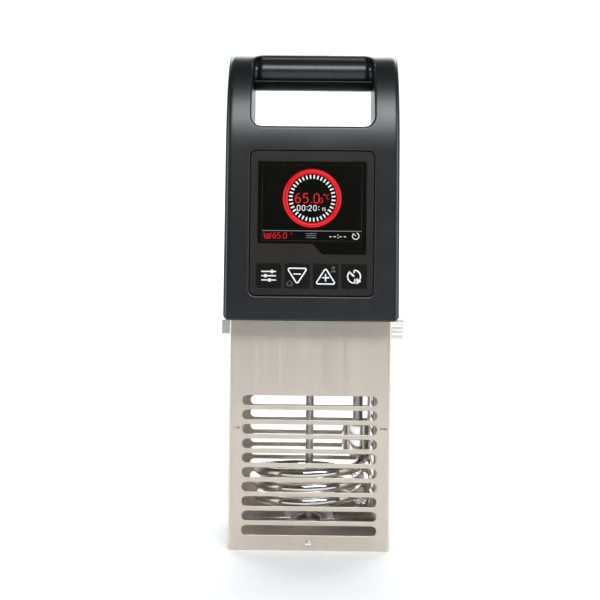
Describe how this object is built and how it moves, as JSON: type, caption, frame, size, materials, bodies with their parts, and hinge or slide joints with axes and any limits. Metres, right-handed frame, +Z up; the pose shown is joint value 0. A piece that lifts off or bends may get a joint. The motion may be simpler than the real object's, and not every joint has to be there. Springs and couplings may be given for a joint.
{
  "type": "sous vide circulator",
  "caption": "Immersion circulator: a moulded head with carrying handle, screen and keys, over a slotted steel guard with heater, impeller, float switch and probe inside, and a rear rim clamp.",
  "frame": {"origin": "centre of the guard's underside", "axes": "+Z up, front towards -Y, +X to the right seen from the front"},
  "size_m": [0.151, 0.1526, 0.361],
  "materials": {
    "casing": "satin moulded, bluish sheen",
    "rocker_plastic": "moulded",
    "panel_film": "printed overlay film, satin",
    "window_glass": "black glossy window",
    "key_film": "printed overlay film, satin",
    "module_plastic": "moulded",
    "circuit_board": "glass fibre board with green lacquer",
    "cast_alloy": "as cast",
    "black_rubber": "moulded",
    "brushed_sheet": "vertical brushed grain",
    "satin_steel": "satin turned",
    "polished_steel": "polished",
    "screw_steel": "bright fastener",
    "display_red": "lit display element",
    "display_white": "lit display element",
    "legend_print": "printed legend"
  },
  "bodies": {
    "root": {"front_shell": "casing", "rear_shell": "casing", "grip_lower": "casing", "head_base": "casing", "rocker_frame": "casing", "inlet_gland": "casing", "gland_nut": "casing", "control_panel": "panel_film", "display_window": "window_glass", "display_module": "module_plastic", "control_board": "circuit_board", "power_board": "circuit_board", "heat_sink": "cast_alloy", "motor_bracket": "cast_alloy", "motor_body": "cast_alloy", "shaft_bush": "cast_alloy", "head_gasket": "black_rubber", "front_guard": "brushed_sheet", "back_guard": "brushed_sheet", "bottom_plate": "brushed_sheet", "deck_plate": "brushed_sheet", "clamp_bracket": "brushed_sheet", "float_stem": "satin_steel", "float_stop_1": "satin_steel", "float_stop_2": "satin_steel", "heater_bushing_1": "satin_steel", "heater_bushing_2": "satin_steel", "probe_bushing": "satin_steel", "rod_end_block": "satin_steel", "heater_coil": "polished_steel", "temperature_probe": "polished_steel", "clamp_rod": "polished_steel", "case_screw_1": "screw_steel", "case_screw_2": "screw_steel", "case_screw_3": "screw_steel", "case_screw_4": "screw_steel", "guard_screw_1": "screw_steel", "guard_screw_2": "screw_steel", "guard_screw_3": "screw_steel", "guard_screw_4": "screw_steel", "base_screw_front": "screw_steel", "base_screw_rear": "screw_steel", "bracket_screw_1": "screw_steel", "bracket_screw_2": "screw_steel"},
    "rotor": {"impeller_shaft": "satin_steel", "impeller": "satin_steel", "impeller_nut": "satin_steel", "shaft_coupling": "black_rubber", "motor_rotor": "satin_steel", "cooling_fan": "rocker_plastic"},
    "level_float": {"float": "polished_steel"},
    "set_button": {"set_key": "key_film"},
    "minus_button": {"minus_key": "key_film"},
    "plus_button": {"plus_key": "key_film"},
    "timer_button": {"timer_key": "key_film"},
    "power_switch": {"rocker": "rocker_plastic"},
    "jaw": {"clamp_jaw": "brushed_sheet", "jaw_pad": "black_rubber"},
    "knob": {"clamp_knob": "satin_steel"}
  },
  "joints": [
    {"name": "rotor_spin", "type": "hinge", "parent": "root", "child": "rotor", "pos_m": [0, 0, 0], "axis": [0, 0, 1], "continuous": true},
    {"name": "float_travel", "type": "slide", "parent": "root", "child": "level_float", "axis": [0, 0, 1], "range_m": [0, 0.02]},
    {"name": "set_press", "type": "slide", "parent": "root", "child": "set_button", "axis": [0, 1, 0], "range_m": [0, 0.0005], "stiffness_N_per_m": 2000},
    {"name": "minus_press", "type": "slide", "parent": "root", "child": "minus_button", "axis": [0, 1, 0], "range_m": [0, 0.0005], "stiffness_N_per_m": 2000},
    {"name": "plus_press", "type": "slide", "parent": "root", "child": "plus_button", "axis": [0, 1, 0], "range_m": [0, 0.0005], "stiffness_N_per_m": 2000},
    {"name": "timer_press", "type": "slide", "parent": "root", "child": "timer_button", "axis": [0, 1, 0], "range_m": [0, 0.0005], "stiffness_N_per_m": 2000},
    {"name": "switch_tilt", "type": "hinge", "parent": "root", "child": "power_switch", "pos_m": [-0.032, 0.0643, 0.2124], "axis": [1, 0, 0], "range_deg": [-7, 7]},
    {"name": "jaw_swing", "type": "hinge", "parent": "root", "child": "jaw", "pos_m": [0, 0.066, 0.1578], "axis": [1, 0, 0], "range_deg": [-3, 70]},
    {"name": "knob_turn", "type": "hinge", "parent": "root", "child": "knob", "pos_m": [0.06, 0.066, 0.1578], "axis": [1, 0, 0], "range_deg": [0, 360]}
  ]
}
